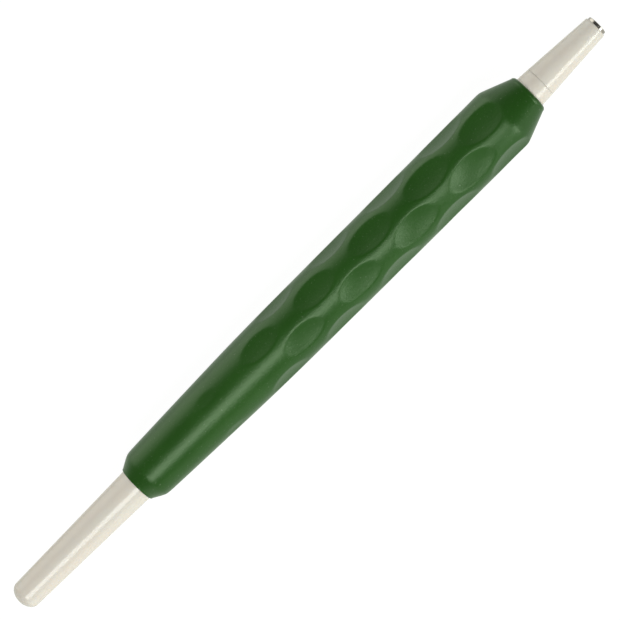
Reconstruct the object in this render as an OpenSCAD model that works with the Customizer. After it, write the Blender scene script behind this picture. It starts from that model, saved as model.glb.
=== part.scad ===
/* [Burnisher rod] */
// Length of the rod that stands out of the grip
rod_length = 33.6; // [20:0.1:60]
// Diameter of the rod where it leaves the grip
rod_root_d = 7.56; // [7.36:0.02:7.6]
// Diameter of the rod at the base of its domed end
rod_end_d = 6.2; // [4.5:0.05:7]
// Height of the domed end
rod_dome_h = 2.2; // [1:0.1:3]
// Depth that the rod's root sits inside the mouth of the grip
rod_seat = 4; // [2:0.5:8]
// Length of the spigot that plugs the rod into the barrel
rod_spigot_length = 22; // [8:1:34]

/* [Grip sleeve] */
// Length of the sleeve between its two end faces
grip_length = 111.5; // [90:0.25:140]
// Diameter at the lower end, where the long taper starts
grip_low_d = 11.52; // [11:0.05:13]
// Diameter where the lower taper and the upper taper meet
grip_mid_d = 13.78; // [13.2:0.05:15]
// Diameter at the shoulder beside the tip
grip_top_d = 14.25; // [13.6:0.05:15.4]
// Distance from the lower end face to where the two tapers meet
grip_mid_from_low = 35.1; // [25:0.1:45]
// Radius that the blend takes off where the two tapers meet
grip_blend = 0.12; // [0.05:0.01:0.2]
// Length of the cone at the lower end
low_cone_length = 2.95; // [2:0.05:4]
// Diameter of the lower cone at the end face
low_cone_d = 8.1; // [8.1:0.05:9]
// Length of the cone beside the tip
top_cone_length = 7.3; // [5:0.1:8]
// Diameter of the upper cone at the end face
top_cone_d = 8.5; // [8.5:0.05:9.2]
// Radius that softens both shoulders
shoulder_r = 5; // [2:0.25:6]
// Radius of the lip at the lower end face
low_lip_r = 0.35; // [0.1:0.05:0.4]
// Radius of the lip at the upper end face
top_lip_r = 0.8; // [0.2:0.05:0.8]

/* [Dimples] */
// Dimples along each row that starts beside the shoulder; the last is faint
dimple_count = 6; // [1:1:6]
// Dimples along each row between those, set back half a pitch
dimple_count_between = 4; // [1:1:5]
// Distance between neighbours in one row
dimple_pitch = 15.7; // [15:0.1:16.5]
// Distance from the shoulder to the middle of the first dimple
dimple_from_shoulder = 4.05; // [2:0.05:6]
// Radius of the ball that would fit a dimple
dimple_ball_r = 21.5; // [20:0.5:30]
// Distance from the tool's axis to the bottom of every dimple
dimple_floor_r = 6.25; // [6.2:0.01:6.6]
// Rows around the sleeve, counting both kinds
dimple_rows = 8; // [6:2:10]

/* [Inner barrel] */
// Outer diameter inside the grip
barrel_d = 7.3; // [6.8:0.05:7.35]
// Diameter of the bore that takes both plugs
barrel_bore_d = 4.6; // [3.6:0.05:5.2]
// Length of the collar that stands out beside the tip
collar_length = 3.05; // [1.5:0.05:6]

/* [Tip nose] */
// Length of the nose from its seam with the collar to its end
nose_length = 15.45; // [12:0.05:30]
// Diameter of the nose at the seam
nose_root_d = 6.98; // [6.4:0.02:7.1]
// Diameter of the nose at its end
nose_end_d = 4.96; // [4.96:0.02:5.6]
// Radius of the rim round the end of the nose
nose_rim_r = 0.15; // [0.05:0.05:0.2]
// Length of the spigot that plugs the nose into the barrel
nose_spigot_length = 14; // [6:1:30]

/* [Steel tip] */
// Diameter of the steel tip
tip_d = 4.4; // [3.6:0.05:4.45]
// Length of steel that stands out of the nose
tip_out = 0.85; // [0.5:0.05:4]
// Height of the shallow dome on the steel's end face
tip_dome_h = 0.3; // [0.1:0.05:0.4]
// Depth that the steel is seated in the nose
tip_seat = 4; // [2:0.5:10]

/* [Fits] */
// Radial gap between the barrel and the sleeve stretched over it
sleeve_gap = 0.02; // [0.01:0.01:0.05]
// Radial gap around every plugged-in spigot and around the steel tip
plug_gap = 0.02; // [0.01:0.01:0.1]
// Small chamfer on the edges of the barrel, spigots and seam
edge_break = 0.12; // [0.05:0.01:0.2]

/* [Hidden] */
$fn = 96;
FILLET_STEPS = 6;
DOME_STEPS = 10;

// Places along the tool's axis, which runs along +X with its middle at zero
tool_length = rod_length + grip_length + collar_length + nose_length + tip_out;
rod_tip_x = -tool_length / 2;
grip_low_x = rod_tip_x + rod_length;
grip_top_x = grip_low_x + grip_length;
seam_x = grip_top_x + collar_length;
nose_end_x = seam_x + nose_length;
tip_end_x = nose_end_x + tip_out;
tip_back_x = nose_end_x - tip_seat;
rod_shoulder_x = grip_low_x + rod_seat;
shoulder_x = grip_top_x - top_cone_length;
low_shoulder_x = grip_low_x + low_cone_length;
grip_mid_x = grip_low_x + grip_mid_from_low;
first_dimple_x = shoulder_x - dimple_from_shoulder;

// The sleeve's radius along its length: two straight tapers joined by a hyperbola
function low_taper_r(x) = grip_low_d / 2
    + (grip_mid_d - grip_low_d) / 2 * (x - low_shoulder_x) / (grip_mid_x - low_shoulder_x);
function top_taper_r(x) = grip_mid_d / 2
    + (grip_top_d - grip_mid_d) / 2 * (x - grip_mid_x) / (shoulder_x - grip_mid_x);
function grip_r(x) = (low_taper_r(x) + top_taper_r(x)) / 2
    - norm([(low_taper_r(x) - top_taper_r(x)) / 2, grip_blend]);

// The tool lies on the ridge between its first two dimples
rest_height = grip_r(first_dimple_x - dimple_pitch / 2);

// The outside of the collar carries on the line of the nose
function nose_r(x) = nose_end_d / 2
    + (nose_root_d - nose_end_d) / 2 * (nose_end_x - x) / nose_length;

// An arc of radius r that rounds the corner at p between the lines to a and to b
function unit(v) = v / norm(v);
function turn(angle) = angle > 180 ? angle - 360 : angle < -180 ? angle + 360 : angle;
function heading(v) = atan2(v.y, v.x);
function fillet(a, p, b, r) =
    let (
        u = unit(a - p),
        v = unit(b - p),
        half = acos(u * v) / 2,
        middle = p + unit(u + v) * r / sin(half),
        start = heading(p + u * r / tan(half) - middle),
        swing = turn(heading(p + v * r / tan(half) - middle) - start)
    )
    [for (i = [0:FILLET_STEPS])
        let (angle = start + swing * i / FILLET_STEPS)
        middle + r * [cos(angle), sin(angle)]];

// A domed end in outline, from its top on the axis at x to its base of radius r, as a quarter of an ellipse
function dome(x, h, r) =
    [for (i = [0:DOME_STEPS])
        let (angle = 90 * i / DOME_STEPS)
        [x - h * (1 - cos(angle)), r * sin(angle)]];

// Turns an outline of [place along the axis, radius] points into a solid that lies along +X
module turned(outline) {
    translate([0, 0, rest_height])
        rotate([0, 90, 0])
            rotate_extrude()
                polygon([for (p = outline) [p.y, p.x]]);
}

// One ball of the dimple pattern, at a place along the axis and an angle around it
module dimple_ball(x, angle) {
    translate([x, 0, rest_height])
        rotate([angle, 0, 0])
            translate([0, 0, dimple_floor_r + dimple_ball_r])
                sphere(r = dimple_ball_r);
}

// Soft green sleeve that the hand holds, with rows of finger dimples
module grip_sleeve() {
    bore_r = barrel_d / 2 + sleeve_gap;
    seat_r = rod_root_d / 2 + sleeve_gap;
    low_face = [grip_low_x, low_cone_d / 2];
    low_shoulder = [low_shoulder_x, grip_low_d / 2];
    top_shoulder = [shoulder_x, grip_top_d / 2];
    top_face = [grip_top_x, top_cone_d / 2];
    taper_in = (grip_mid_x - low_shoulder_x) / 4;
    body = [for (i = [1, 2, 3, 4, 5]) low_shoulder_x + i * taper_in];
    outline = concat(
        [[rod_shoulder_x, bore_r], [rod_shoulder_x, seat_r], [grip_low_x, seat_r]],
        fillet([grip_low_x, seat_r], low_face, low_shoulder, low_lip_r),
        fillet(low_face, low_shoulder, [body[0], grip_r(body[0])], shoulder_r),
        [for (x = body) [x, grip_r(x)]],
        fillet([body[4], grip_r(body[4])], top_shoulder, top_face, shoulder_r),
        fillet(top_shoulder, top_face, [grip_top_x, bore_r], top_lip_r),
        [[grip_top_x, bore_r]]
    );
    color("darkgreen")
        difference() {
            turned(outline);
            for (row = [0:2:dimple_rows - 2])
                for (i = [0:dimple_count - 1])
                    dimple_ball(first_dimple_x - i * dimple_pitch, row * 360 / dimple_rows);
            for (row = [1:2:dimple_rows - 1])
                for (i = [0:dimple_count_between - 1])
                    dimple_ball(first_dimple_x - (i + 1 / 2) * dimple_pitch, row * 360 / dimple_rows);
        }
}

// Stiff tube through the sleeve; its end is the collar beside the tip
module inner_barrel() {
    barrel_r = barrel_d / 2;
    bore_r = barrel_bore_d / 2;
    outline = [
        [rod_shoulder_x, bore_r + edge_break],
        [rod_shoulder_x, barrel_r - edge_break],
        [rod_shoulder_x + edge_break, barrel_r],
        [grip_top_x, barrel_r],
        [grip_top_x, min(barrel_r, nose_r(grip_top_x))],
        [seam_x - edge_break, nose_r(seam_x - edge_break)],
        [seam_x, nose_r(seam_x) - edge_break],
        [seam_x, bore_r + edge_break],
        [seam_x - edge_break, bore_r],
        [rod_shoulder_x + edge_break, bore_r]
    ];
    color("ivory") turned(outline);
}

// Smooth tapered rod with a domed end, plugged into the lower end of the barrel
module burnisher_rod() {
    spigot_r = barrel_bore_d / 2 - plug_gap;
    spigot_x = rod_shoulder_x + rod_spigot_length;
    outline = concat(
        dome(rod_tip_x, -rod_dome_h, rod_end_d / 2),
        [
            [grip_low_x, rod_root_d / 2],
            [rod_shoulder_x - edge_break, rod_root_d / 2],
            [rod_shoulder_x, rod_root_d / 2 - edge_break],
            [rod_shoulder_x, spigot_r],
            [spigot_x - edge_break, spigot_r],
            [spigot_x, spigot_r - edge_break],
            [spigot_x, 0]
        ]
    );
    color("ivory") turned(outline);
}

// Tapered nose plugged into the collar, with a pocket in its end for the steel tip
module tip_nose() {
    spigot_r = barrel_bore_d / 2 - plug_gap;
    spigot_x = seam_x - nose_spigot_length;
    pocket_r = tip_d / 2 + plug_gap;
    outline = concat(
        [
            [spigot_x, 0],
            [spigot_x, spigot_r - edge_break],
            [spigot_x + edge_break, spigot_r],
            [seam_x, spigot_r],
            [seam_x, nose_r(seam_x) - edge_break],
            [seam_x + edge_break, nose_r(seam_x + edge_break)]
        ],
        fillet([seam_x, nose_r(seam_x)], [nose_end_x, nose_end_d / 2], [nose_end_x, 0], nose_rim_r),
        [[nose_end_x, pocket_r], [tip_back_x, pocket_r], [tip_back_x, 0]]
    );
    color("ivory") turned(outline);
}

// Polished steel tip, seated in the nose with a short length standing out
module steel_tip() {
    tip_r = tip_d / 2;
    outline = concat(
        dome(tip_end_x, tip_dome_h, tip_r),
        [[tip_back_x + edge_break, tip_r], [tip_back_x, tip_r - edge_break], [tip_back_x, 0]]
    );
    color("silver") turned(outline);
}

grip_sleeve();
inner_barrel();
burnisher_rod();
tip_nose();
steel_tip();
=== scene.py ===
import bmesh
import bpy
import math
import numpy as np
from mathutils import Matrix, Vector


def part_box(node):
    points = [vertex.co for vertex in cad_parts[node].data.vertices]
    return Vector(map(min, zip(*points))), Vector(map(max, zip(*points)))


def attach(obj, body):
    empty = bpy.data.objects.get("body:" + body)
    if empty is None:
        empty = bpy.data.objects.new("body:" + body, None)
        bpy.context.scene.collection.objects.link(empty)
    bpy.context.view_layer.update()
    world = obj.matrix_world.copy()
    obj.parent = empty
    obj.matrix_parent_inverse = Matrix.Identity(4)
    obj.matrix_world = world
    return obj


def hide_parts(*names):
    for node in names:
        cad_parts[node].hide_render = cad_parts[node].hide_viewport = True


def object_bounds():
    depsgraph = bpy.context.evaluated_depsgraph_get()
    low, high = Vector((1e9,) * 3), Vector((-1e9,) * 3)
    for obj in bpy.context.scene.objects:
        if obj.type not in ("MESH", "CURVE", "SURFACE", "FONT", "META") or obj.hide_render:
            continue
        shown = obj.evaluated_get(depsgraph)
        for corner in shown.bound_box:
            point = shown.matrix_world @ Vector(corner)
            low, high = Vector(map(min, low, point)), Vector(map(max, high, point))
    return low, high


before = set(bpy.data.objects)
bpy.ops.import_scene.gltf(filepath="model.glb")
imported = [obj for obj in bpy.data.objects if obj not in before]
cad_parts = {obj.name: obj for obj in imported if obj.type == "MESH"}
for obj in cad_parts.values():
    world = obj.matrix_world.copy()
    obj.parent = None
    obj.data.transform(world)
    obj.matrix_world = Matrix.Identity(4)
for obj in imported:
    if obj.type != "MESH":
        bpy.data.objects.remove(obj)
cad_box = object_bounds()


# The inner barrel: a stiff ivory plastic tube, moulded in one piece, that the rubber sleeve is stretched
# over. Only its end shows, as the collar beside the tip. Its bore takes the plugs of the rod and the nose.
MM = 0.001
AROUND = 160
AXIS_Z = sum(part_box("inner_barrel")[side][2] for side in (0, 1)) / 2


def turned_grid(x, radius, around=AROUND):
    """Points of a surface turned about the tool's axis: ring i, place j is (x, -radius sin a,
    AXIS_Z + radius cos a), where a goes once round with j. x and radius hold one value per ring, or one per
    ring and place."""
    angle = np.linspace(0.0, 2.0 * np.pi, around, endpoint=False)[None, :]
    x, radius = (np.atleast_2d(np.asarray(v, float).T).T for v in (x, radius))
    x, radius, angle = np.broadcast_arrays(x, radius, angle)
    return np.stack([x, -radius * np.sin(angle), AXIS_Z + radius * np.cos(angle)], axis=-1)


def skin(name, grid, closed=False):
    """A smooth mesh through a grid of points. Column j joins column j + 1 and the last joins the first; where
    closed is true the last ring joins the first too, as on a tube with a bore. Points that fall together, as
    at a pole, are merged."""
    rings, around = grid.shape[:2]
    ring = np.arange(rings if closed else rings - 1)[:, None]
    place = np.arange(around)[None, :]
    on, beside = (ring + 1) % rings, (place + 1) % around
    corners = [ring * around + place, ring * around + beside, on * around + beside, on * around + place]
    faces = np.stack([np.broadcast_to(c, (len(ring), around)) for c in corners], axis=-1).reshape(-1, 4)
    mesh = bpy.data.meshes.new(name)
    mesh.from_pydata(grid.reshape(-1, 3), [], faces)
    whole = bmesh.new()
    whole.from_mesh(mesh)
    bmesh.ops.remove_doubles(whole, verts=whole.verts, dist=1e-7)
    whole.to_mesh(mesh)
    whole.free()
    mesh.shade_smooth()
    piece = bpy.data.objects.new(name, mesh)
    bpy.context.scene.collection.objects.link(piece)
    return piece


def bend(middle, radius, start, stop, steps=7):
    """Points of an arc: middle + radius (cos a, sin a), with a from start to stop in degrees."""
    angle = np.radians(np.linspace(start, stop, steps))[:, None]
    return np.asarray(middle) + radius * np.hstack([np.cos(angle), np.sin(angle)])


def stretch(first, last, steps):
    """Points at equal steps on the straight line from first to last."""
    return np.linspace(first, last, steps)


class Value:
    """One output of a material's nodes. Its operators add the Math node that does the sum."""

    def __init__(self, finish, socket):
        self.finish = finish
        self.socket = socket

    def sum(self, operation, first, second):
        return self.finish.node("ShaderNodeMath", {"operation": operation}, {0: first, 1: second})

    def __add__(self, other):
        return self.sum("ADD", self, other)

    def __radd__(self, other):
        return self.sum("ADD", other, self)

    def __mul__(self, other):
        return self.sum("MULTIPLY", self, other)

    def __rmul__(self, other):
        return self.sum("MULTIPLY", other, self)


class Finish:
    """A procedural material in the making. Its node() adds any one node and returns an output as a Value."""

    def __init__(self, name, **constants):
        self.material = bpy.data.materials.new(name)
        self.material.use_nodes = True
        self.tree = self.material.node_tree
        self.surface = self.tree.nodes["Principled BSDF"]
        for socket, value in constants.items():
            self.surface.inputs[socket.replace("_", " ")].default_value = value

    def node(self, kind, settings=None, sockets=None, output=0):
        made = self.tree.nodes.new(kind)
        for key, value in (settings or {}).items():
            setattr(made, key, value)
        self.feed(made, sockets or {})
        return Value(self, made.outputs[output])

    def feed(self, made, sockets):
        """Links each Value to the socket it is given for, and sets the other sockets to their constants."""
        for key, value in sockets.items():
            if isinstance(value, Value):
                self.tree.links.new(value.socket, made.inputs[key])
            else:
                made.inputs[key].default_value = value

    def place(self, stretch_by=(1.0, 1.0, 1.0)):
        """Where a point is on the object, in metres, with each direction multiplied."""
        where = self.node("ShaderNodeTexCoord", output="Object")
        return self.node("ShaderNodeVectorMath", {"operation": "MULTIPLY"}, {0: where, 1: stretch_by})

    def noise(self, scale, detail=2.0, roughness=0.5, stretch_by=(1.0, 1.0, 1.0)):
        """Smooth noise from 0 to 1, with about scale lumps to the metre."""
        sockets = {"Vector": self.place(stretch_by), "Scale": scale, "Detail": detail, "Roughness": roughness}
        return self.node("ShaderNodeTexNoise", sockets=sockets)

    def blend(self, factor, first, second):
        """A colour that goes from first to second as factor goes from 0 to 1."""
        sockets = {"Factor": factor, 6: first, 7: second}
        return self.node("ShaderNodeMix", {"data_type": "RGBA"}, sockets, output=2)

    def between(self, value, low, high):
        """0 below low, 1 above high, and smooth between them."""
        sockets = {"Value": value, "From Min": low, "From Max": high}
        return self.node("ShaderNodeMapRange", {"interpolation_type": "SMOOTHSTEP"}, sockets)

    def finish(self, color, roughness, height, depth):
        """Feeds the surface: its colour, its roughness, and bumps of height times depth in metres."""
        bump = self.node("ShaderNodeBump", sockets={"Height": height, "Distance": depth, "Strength": 1.0})
        self.feed(self.surface, {"Base Color": color, "Roughness": roughness, "Normal": bump})
        return self.material


def ivory_plastic():
    """Moulded ivory plastic: warm and cool mottling a few millimetres across, drawn out along the tool by the
    flow of the melt, a satin gloss, and polishing lines along the tool too fine to see one by one."""
    made = Finish("ivory_plastic", IOR=1.49, Subsurface_Weight=0.12, Subsurface_Scale=0.0012)
    made.surface.inputs["Subsurface Radius"].default_value = (1.0, 0.8, 0.55)
    mottle = made.noise(170.0, 3.0, stretch_by=(0.35, 1.0, 1.0))
    streak = made.noise(900.0, 2.0, stretch_by=(0.04, 1.0, 1.0))
    fleck = made.noise(1500.0, 2.0)
    warm, cool = (0.725, 0.650, 0.580, 1.0), (0.715, 0.662, 0.598, 1.0)
    brown = (0.650, 0.590, 0.490, 1.0)
    body = made.blend(made.between(mottle, 0.35, 0.65), warm, cool)
    color = made.blend(made.between(fleck, 0.62, 0.75) * 0.35, body, brown)
    roughness = 0.16 + 0.03 * streak + 0.04 * made.between(fleck, 0.5, 0.7)
    height = 0.6 * streak + 0.4 * made.noise(2600.0, 2.0)
    return made.finish(color, roughness, height, 0.0006 * MM)


ivory = ivory_plastic()
barrel_low, barrel_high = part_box("inner_barrel")
grip_low, grip_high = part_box("grip_sleeve")
nose_low, nose_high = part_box("tip_nose")
barrel_r = (barrel_high[2] - barrel_low[2]) / 2
barrel_bore_r = 2.3 * MM
seam_x = barrel_high[0]
nose_root_r = (nose_high[1] - nose_low[1]) / 2
nose_end_x = nose_high[0]
nose_end_r = 2.48 * MM
seam_edge = 0.003 * MM


def nose_line(x):
    """Radius of the straight taper that runs through the nose's outside at the seam and at its end."""
    return nose_root_r + (nose_end_r - nose_root_r) * (x - seam_x) / (nose_end_x - seam_x)


def inner_barrel():
    """The outline runs along the outside to the end of the sleeve, along the collar to the nose's line, over
    the soft edge at the seam, and back along the bore."""
    outline = np.vstack([
        stretch((barrel_low[0], barrel_r), (grip_high[0], barrel_r), 24),
        stretch((grip_high[0], barrel_r), (seam_x - seam_edge, nose_line(seam_x - seam_edge)), 12),
        bend((seam_x - seam_edge, nose_line(seam_x) - seam_edge), seam_edge, 90, 0),
        stretch((seam_x, barrel_bore_r), (barrel_low[0], barrel_bore_r), 24),
    ])
    return skin("barrel_tube", turned_grid(outline[:, 0], outline[:, 1]), closed=True)


barrel = inner_barrel()
barrel.data.materials.append(ivory)
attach(barrel, "root")
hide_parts("inner_barrel")


# The burnisher rod: a solid ivory rod with a slight moulding draft and a flat-domed end that smooths the
# clay. Its root fills the mouth of the sleeve and its plug is pressed into the barrel.
rod_low, rod_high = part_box("burnisher_rod")
rod_root_r = (rod_high[2] - rod_low[2]) / 2
rod_end_r = 3.1 * MM
rod_dome = 2.2 * MM
plug_gap = 0.02 * MM
rod_root_x = barrel_low[0]


def burnisher_rod():
    """The dome is a quarter of an ellipse, rod_dome high: x goes as 1 - cos, the radius as sin. A straight
    taper leads from it to the mouth of the sleeve."""
    turn = np.linspace(0.0, np.pi / 2, 28)
    dome = np.stack([rod_low[0] + rod_dome * (1 - np.cos(turn)), rod_end_r * np.sin(turn)], axis=1)
    plug_r = barrel_bore_r - plug_gap
    outline = np.vstack([
        dome,
        stretch(dome[-1], (grip_low[0], rod_root_r), 60)[1:],
        stretch((grip_low[0], rod_root_r), (rod_root_x, rod_root_r), 5)[1:],
        stretch((rod_root_x, plug_r), (rod_high[0], plug_r), 12),
        [(rod_high[0], 0.0)],
    ])
    return skin("burnisher", turned_grid(outline[:, 0], outline[:, 1]))


burnisher = burnisher_rod()
burnisher.data.materials.append(ivory)
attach(burnisher, "root")
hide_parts("burnisher_rod")


# The tip nose: a tapered ivory nose, turned smooth, plugged into the collar at the fine seam.
# The rim of its end is rounded over, and its pocket holds the steel tip.
tip_low, tip_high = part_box("steel_tip")
steel_r = (tip_high[1] - tip_low[1]) / 2
pocket_r = steel_r + plug_gap
rim_r = 0.15 * MM


def tip_nose():
    """The outline starts at the plug, runs out along the taper and over the rim, and ends in the pocket's
    floor."""
    plug_r = barrel_bore_r - plug_gap
    outline = np.vstack([
        [(nose_low[0], 0.0)],
        stretch((nose_low[0], plug_r), (seam_x, plug_r), 12),
        bend((seam_x + seam_edge, nose_line(seam_x) - seam_edge), seam_edge, 180, 90),
        stretch((seam_x + 2 * seam_edge, nose_line(seam_x + 2 * seam_edge)),
                (nose_end_x - rim_r, nose_line(nose_end_x - rim_r)), 60),
        bend((nose_end_x - rim_r, nose_end_r - rim_r), rim_r, 86, 0),
        stretch((nose_end_x, pocket_r), (tip_low[0], pocket_r), 12),
        [(tip_low[0], 0.0)],
    ])
    return skin("nose_cone", turned_grid(outline[:, 0], outline[:, 1]))


nose = tip_nose()
nose.data.materials.append(ivory)
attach(nose, "root")
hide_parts("tip_nose")


# The steel tip: a short turned and polished steel plug, pressed into the nose so that a narrow band stands
# out. Its end face is a shallow dome.
steel_dome = 0.3 * MM


def steel_tip():
    """The outline runs out along the wall and in over the dome, a quarter of an ellipse."""
    wall = stretch((tip_low[0], steel_r), (tip_high[0] - steel_dome, steel_r), 24)
    turn = np.linspace(90.0, 0.0, 25)[1:] * math.pi / 180
    dome = np.stack([tip_high[0] - steel_dome * (1 - np.cos(turn)), steel_r * np.sin(turn)], 1)
    outline = np.vstack([[(tip_low[0], 0.0)], wall, dome])
    return skin("steel_plug", turned_grid(outline[:, 0], outline[:, 1]))


def polished_steel():
    """Turned and polished steel, faintly warm: fine rings from the turning tool lie round the axis, with
    small dull patches of dried clay."""
    made = Finish("polished_steel", Metallic=1.0)
    ring = made.noise(9000.0, 2.0, stretch_by=(1.0, 0.05, 0.05))
    patch = made.noise(2200.0, 3.0)
    dull = made.between(patch, 0.55, 0.72)
    bright_steel, clayed_steel = (0.42, 0.385, 0.35, 1.0), (0.33, 0.28, 0.22, 1.0)
    color = made.blend(dull, bright_steel, clayed_steel)
    return made.finish(color, 0.08 + 0.08 * ring + 0.14 * dull, ring, 0.002 * MM)


tip = steel_tip()
tip.data.materials.append(polished_steel())
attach(tip, "root")
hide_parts("steel_tip")


# The grip sleeve: soft green rubber, moulded with eight rows of finger dimples that fade out down its taper.
# It is stretched over the barrel, and its two ends close round the rod and the collar.
grip_top_r = 7.125 * MM
shoulder_x = grip_high[0] - 7.3 * MM
low_shoulder_x = grip_low[0] + 2.95 * MM
low_shoulder_r = 5.76 * MM
meet_x = grip_low[0] + 35.1 * MM
meet_r = 6.89 * MM
low_face_r = 4.05 * MM
top_face_r = 4.25 * MM
low_lip_r = 0.35 * MM
top_lip_r = 0.8 * MM
low_shoulder_ease = 0.16 * MM
meet_ease = 0.12 * MM
top_shoulder_ease = 0.09 * MM
dimple_rows = 8
dimples_in_row = (6, 4)
dimple_pitch = 15.7 * MM
dimple_from_shoulder = 4.05 * MM
dimple_ball_r = 21.5 * MM
dimple_floor_r = 6.25 * MM
dimple_edge = 0.045 * MM
GRIP_AROUND = 256


def softer_of(first, second, ease):
    """The smaller of two radii, rounded where they cross: their mean, less the length of the vector made of
    half their difference and ease."""
    return (first + second) / 2 - np.hypot((first - second) / 2, ease)


def line(x, x0, r0, x1, r1):
    """Radius at x on the straight line through (x0, r0) and (x1, r1)."""
    return r0 + (r1 - r0) * (x - x0) / (x1 - x0)


def sleeve_radius(x):
    """The least of four straight tapers, joined softly: the lower cone, the long lower taper, the upper body,
    and the cone beside the tip."""
    body = softer_of(line(x, low_shoulder_x, low_shoulder_r, meet_x, meet_r),
                     line(x, meet_x, meet_r, shoulder_x, grip_top_r), meet_ease)
    body = softer_of(body, line(x, shoulder_x, grip_top_r, grip_high[0], top_face_r), top_shoulder_ease)
    low_cone = line(x, grip_low[0], low_face_r, low_shoulder_x, low_shoulder_r)
    return softer_of(body, low_cone, low_shoulder_ease)


def dimpled(x, radius):
    """Presses the balls of the dimple pattern into a grid of radii. Along the ray at an angle a from a ball
    whose middle is c from the axis, the ball's near side is at
    c cos a - sqrt(ball^2 - dx^2 - (c sin a)^2)."""
    angle = np.linspace(0.0, 2.0 * np.pi, GRIP_AROUND, endpoint=False)[None, :]
    reach = dimple_floor_r + dimple_ball_r
    out_of_reach = 1.0
    first_x = shoulder_x - dimple_from_shoulder
    for row in range(dimple_rows):
        beside = angle - row * 2.0 * np.pi / dimple_rows
        for i in range(dimples_in_row[row % 2]):
            away = x - (first_x - (i + (row % 2) / 2) * dimple_pitch)
            inside = dimple_ball_r**2 - away**2 - (reach * np.sin(beside))**2
            near = reach * np.cos(beside) - np.sqrt(np.maximum(inside, 0.0))
            near = np.where((inside > 0.0) & (np.cos(beside) > 0.0), near, out_of_reach)
            radius = softer_of(radius, near, dimple_edge)
    return radius


def grip_sleeve():
    """The outline goes from the mouth round the rod, over the lower lip, along the dimpled body, over the
    upper lip, and back through the bore. Each lip is most of a quarter circle."""
    low_start = grip_low[0] + low_lip_r
    top_stop = grip_high[0] - top_lip_r
    body_x = np.linspace(low_start, top_stop, 320)
    body_r = sleeve_radius(body_x)
    low_turn = np.linspace(1.5, 0.2, 8)
    low_lip = np.stack([low_start - low_lip_r * np.sin(low_turn),
                        body_r[0] - low_lip_r * (1 - np.cos(low_turn))], axis=1)
    top_turn = np.linspace(0.1, 1.5, 12)
    top_lip = np.stack([top_stop + top_lip_r * np.sin(top_turn),
                        body_r[-1] - top_lip_r * (1 - np.cos(top_turn))], axis=1)
    seat_r = rod_root_r + plug_gap
    bore_r = barrel_r + plug_gap
    outside = np.vstack([low_lip, np.stack([body_x, body_r], axis=1), top_lip])
    x = outside[:, :1]
    outer = dimpled(x, np.broadcast_to(outside[:, 1:], (len(x), GRIP_AROUND)))
    bore = np.vstack([
        stretch((grip_high[0], bore_r), (barrel_low[0], bore_r), 12),
        stretch((barrel_low[0], seat_r), (grip_low[0], seat_r), 3),
    ])
    whole = [turned_grid(x, outer, GRIP_AROUND), turned_grid(bore[:, 0], bore[:, 1], GRIP_AROUND)]
    return skin("rubber_sleeve", np.concatenate(whole), closed=True)


def green_rubber():
    """Soft-touch green rubber: a fine moulded grain, faint cloudiness a centimetre across, and pale specks
    painted into the colour as the sparkle of highlights in the grain."""
    made = Finish("green_rubber", IOR=1.5, Specular_IOR_Level=0.42, Sheen_Weight=0.15, Sheen_Roughness=0.35)
    made.surface.inputs["Specular Tint"].default_value = (0.78, 1.0, 0.68, 1.0)
    made.surface.inputs["Sheen Tint"].default_value = (0.50, 0.80, 0.42, 1.0)
    cloud = made.noise(90.0, 3.0)
    grain = made.noise(2300.0, 3.0, 0.7)
    # Pale specks painted into the colour: painted highlight sparkle, the same everywhere on the rubber.
    painted_sparkle = made.between(made.noise(2600.0, 2.0), 0.66, 0.76)
    deep, faded = (0.0155, 0.067, 0.0070, 1.0), (0.0195, 0.076, 0.0095, 1.0)
    painted_sparkle_color = (0.16, 0.22, 0.13, 1.0)
    body = made.blend(made.between(cloud, 0.3, 0.7), deep, faded)
    color = made.blend(painted_sparkle * 0.40, body, painted_sparkle_color)
    roughness = 0.27 + 0.08 * grain + 0.04 * cloud
    return made.finish(color, roughness, grain, 0.034 * MM)


sleeve = grip_sleeve()
sleeve.data.materials.append(green_rubber())
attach(sleeve, "root")
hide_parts("grip_sleeve")


# The studio: a plain white floor, a long and a small soft light beside the tool, and a camera above it.
tool_middle = Vector(((cad_box[0][0] + cad_box[1][0]) / 2, 0.0, AXIS_Z))
camera_distance = 0.60
camera_roll = math.radians(21.0)
camera_tilt = math.radians(2.2)
tool_slope = math.radians(44.93)
frame_width = 0.1246
sensor_width = 36.0
aim_along = 0.97 * MM
aim_across = 0.22 * MM
floor_half = 1.5
glow_starts = 0.72
glow_full = 0.94


def direction(roll, tilt=0.0):
    """Unit vector that leans from straight up by roll towards -Y, and by tilt towards +X."""
    return Vector((math.sin(tilt), -math.cos(tilt) * math.sin(roll), math.cos(tilt) * math.cos(roll)))


def studio_floor():
    """A square at the tool's lowest point that glows evenly: a little dimmer to other rays than to the
    camera's, so that it looks white and yet doesn't wash the tool out from below."""
    plane = bpy.data.meshes.new("floor")
    floor_z = cad_box[0][2]
    corners = [(x * floor_half, y * floor_half, floor_z) for x, y in ((-1, -1), (1, -1), (1, 1), (-1, 1))]
    plane.from_pydata(corners, [], [(0, 1, 2, 3)])
    piece = bpy.data.objects.new("floor", plane)
    bpy.context.scene.collection.objects.link(piece)
    white = Finish("white_floor", Roughness=0.9, Emission_Strength=1.0)
    white.surface.inputs["Base Color"].default_value = (0.14, 0.14, 0.14, 1.0)
    seen = white.node("ShaderNodeLightPath")
    glow = white.blend(seen, (0.68, 0.71, 0.66, 1.0), (0.94, 0.94, 0.94, 1.0))
    white.feed(white.surface, {"Emission Color": glow})
    plane.materials.append(white.material)


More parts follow.
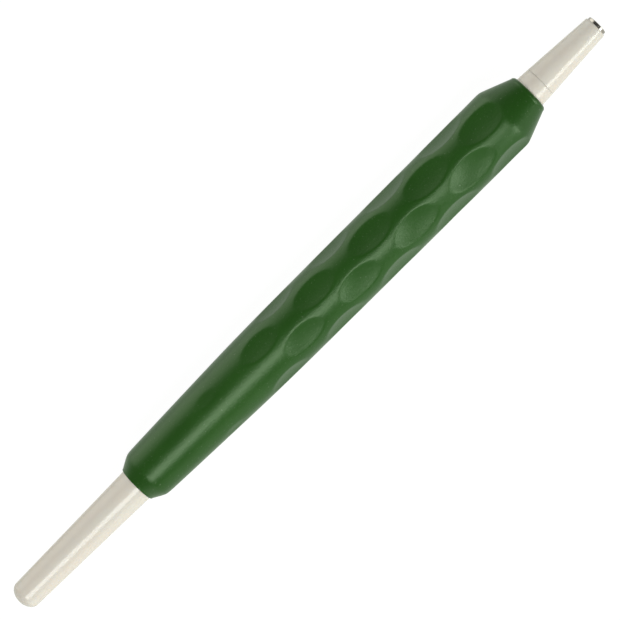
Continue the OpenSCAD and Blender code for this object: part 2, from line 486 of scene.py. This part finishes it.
def soft_light(name, power, size, roll, distance, along_tool, color):
    """A rectangular light of a power in watts and a colour. size is (length along the tool, width). It
    stands at a distance, roll degrees from the camera towards -Y, is moved along_tool, and faces the
    tool's middle."""
    lamp = bpy.data.lights.new(name, "AREA")
    lamp.shape = "RECTANGLE"
    lamp.size, lamp.size_y = size
    lamp.energy = power
    lamp.color = color
    light = bpy.data.objects.new(name, lamp)
    towards = direction(camera_roll + math.radians(roll))
    place = tool_middle + towards * distance + Vector((along_tool, 0.0, 0.0))
    back = (place - tool_middle).normalized()
    along = (Vector((1.0, 0.0, 0.0)) - back * back.x).normalized()
    light.matrix_world = Matrix((along, back.cross(along), back)).transposed().to_4x4()
    light.matrix_world.translation = place
    bpy.context.scene.collection.objects.link(light)


def studio_camera():
    """A camera whose lens takes in frame_width at camera_distance. It is turned about its own line of sight
    so that the tool rises to the right at tool_slope."""
    lens = bpy.data.cameras.new("camera")
    lens.sensor_width = sensor_width
    lens.lens = sensor_width * camera_distance / frame_width
    camera = bpy.data.objects.new("camera", lens)
    back = direction(camera_roll, camera_tilt)
    along = Vector((1.0, 0.0, 0.0))
    along = (along - back * along.dot(back)).normalized()
    down_right = along.cross(back)
    right = along * math.cos(tool_slope) + down_right * math.sin(tool_slope)
    up = along * math.sin(tool_slope) - down_right * math.cos(tool_slope)
    aim = tool_middle + along * aim_along - down_right * aim_across
    turned = Matrix((right, up, back)).transposed().to_4x4()
    camera.matrix_world = Matrix.Translation(aim + back * camera_distance) @ turned
    bpy.context.scene.collection.objects.link(camera)
    bpy.context.scene.camera = camera


def studio_world():
    """A wide soft glow from the tool's upper left, and a little light from all round. The glow follows the
    sine of the angle from the camera towards that side: none below glow_starts, full above glow_full."""
    world = bpy.data.worlds.new("studio")
    world.use_nodes = True
    sky = world.node_tree
    where = sky.nodes.new("ShaderNodeTexCoord")
    side = sky.nodes.new("ShaderNodeVectorMath")
    side.operation = "DOT_PRODUCT"
    side.inputs[1].default_value = direction(camera_roll - math.pi / 2)
    ramp = sky.nodes.new("ShaderNodeValToRGB")
    stops = ramp.color_ramp.elements
    stops[0].position = glow_starts
    stops[0].color = (0.05, 0.05, 0.05, 1.0)
    stops[1].position = glow_full
    stops[1].color = (0.98, 1.0, 0.93, 1.0)
    sky.links.new(where.outputs["Generated"], side.inputs[0])
    sky.links.new(side.outputs["Value"], ramp.inputs["Fac"])
    sky.links.new(ramp.outputs["Color"], sky.nodes["Background"].inputs["Color"])
    sky.nodes["Background"].inputs["Strength"].default_value = 2.0
    bpy.context.scene.world = world


studio_floor()
soft_light("long_box", 2.0, (0.44, 0.24), 24.5, 0.5, -0.12, (0.96, 1.0, 0.97))
soft_light("square_box", 0.62, (0.17, 0.17), 58.0, 0.4, 0.185, (0.94, 1.0, 0.95))
studio_camera()
studio_world()
bpy.context.scene.view_settings.view_transform = "Standard"
